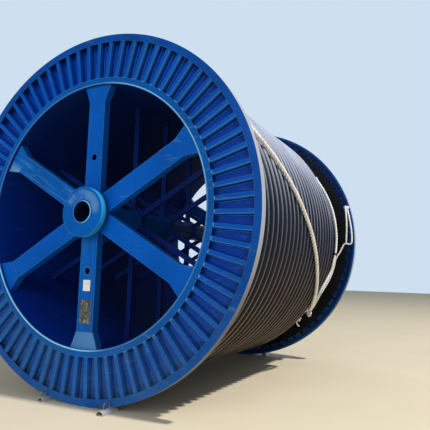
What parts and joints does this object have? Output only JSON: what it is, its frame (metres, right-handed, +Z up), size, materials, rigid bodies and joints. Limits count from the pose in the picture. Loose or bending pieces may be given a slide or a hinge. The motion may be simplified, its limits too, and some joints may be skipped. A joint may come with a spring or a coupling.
{
  "type": "steel cable drum",
  "caption": "Large steel cable drum on its side with spoked, corrugated flanges, wound with black power cable, held by pipe chocks.",
  "frame": {"origin": "on the ground below the middle of the drum's axis", "axes": "+Z up, +Y along the drum's axis from the front flange to the back flange, +X to the right as the front flange is seen"},
  "size_m": [4.4998, 5.14, 4.5],
  "materials": {
    "painted_steel": "blue paint, satin, dusty and scuffed, with pale weld lines",
    "black_sheet": "black sheet, dull",
    "chock_steel": "bare steel pipe, weathered grey-brown, dusty",
    "cable_jacket": "black polyethylene jacket, satin, dusty",
    "plate": "bare metal plate, matte",
    "cream_rope": "laid natural fibre rope, weathered",
    "white_rope": "laid white synthetic rope"
  },
  "bodies": {
    "root": {"front_rim": "painted_steel", "front_corrugated_web": "painted_steel", "front_inner_ring": "painted_steel", "front_lining": "black_sheet", "front_hub": "painted_steel", "front_spoke_1": "painted_steel", "front_spoke_2": "painted_steel", "front_spoke_3": "painted_steel", "front_spoke_4": "painted_steel", "front_spoke_5": "painted_steel", "front_spoke_6": "painted_steel", "front_left_chock": "chock_steel", "front_left_chock_handle": "chock_steel", "front_right_chock": "chock_steel", "front_right_chock_handle": "chock_steel", "back_rim": "painted_steel", "back_corrugated_web": "painted_steel", "back_inner_ring": "painted_steel", "back_lining": "black_sheet", "back_hub": "painted_steel", "back_spoke_1": "painted_steel", "back_spoke_2": "painted_steel", "back_spoke_3": "painted_steel", "back_spoke_4": "painted_steel", "back_spoke_5": "painted_steel", "back_spoke_6": "painted_steel", "back_left_chock": "chock_steel", "back_left_chock_handle": "chock_steel", "back_right_chock": "chock_steel", "back_right_chock_handle": "chock_steel", "barrel": "painted_steel", "centre_tube": "painted_steel", "cable_winding": "cable_jacket", "nameplate": "plate", "inner_frame_1": "painted_steel", "inner_frame_2": "painted_steel", "inner_frame_3": "painted_steel", "inner_frame_4": "painted_steel", "inner_frame_5": "painted_steel", "cream_rope": "cream_rope", "white_rope": "white_rope", "lashing_rope": "white_rope", "lashing_stay": "white_rope", "lashing_tail": "white_rope"}
  },
  "joints": []
}
